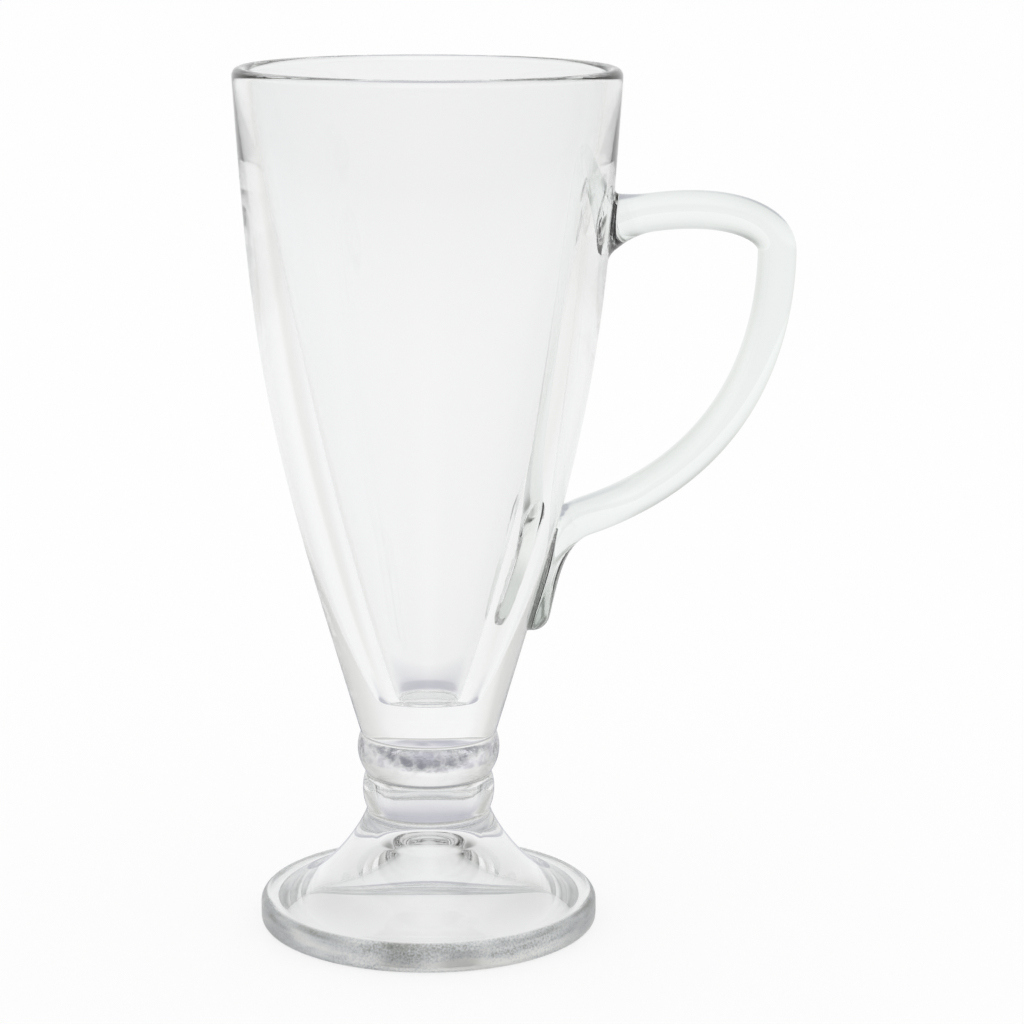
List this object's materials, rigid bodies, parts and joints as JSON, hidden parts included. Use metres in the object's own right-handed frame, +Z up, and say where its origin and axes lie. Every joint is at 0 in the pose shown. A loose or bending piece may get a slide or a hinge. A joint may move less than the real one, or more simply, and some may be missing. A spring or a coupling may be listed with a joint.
{
  "type": "irish coffee glass mug",
  "caption": "Tall clear glass mug with a tapered bowl, ringed stem, hollow round foot and a loop handle, for hot coffee drinks.",
  "frame": {"origin": "centre of the ring that the foot rests on, at the level of the table", "axes": "+Z up along the mug's axis, +X towards the handle, handle in the XZ plane"},
  "size_m": [0.1091, 0.075, 0.171],
  "materials": {
    "bowl": "clear fire-polished soda-lime glass",
    "upper_ring": "clear glass with a cloudy, rippled face",
    "lower_ring": "clear pressed glass",
    "waist": "clear pressed glass",
    "foot": "clear pressed glass with a finely pitted edge",
    "handle": "clear fire-polished soda-lime glass"
  },
  "bodies": {
    "root": {"bowl": "bowl", "upper_ring": "upper_ring", "lower_ring": "lower_ring", "waist": "waist", "foot": "foot", "handle": "handle"}
  },
  "joints": []
}
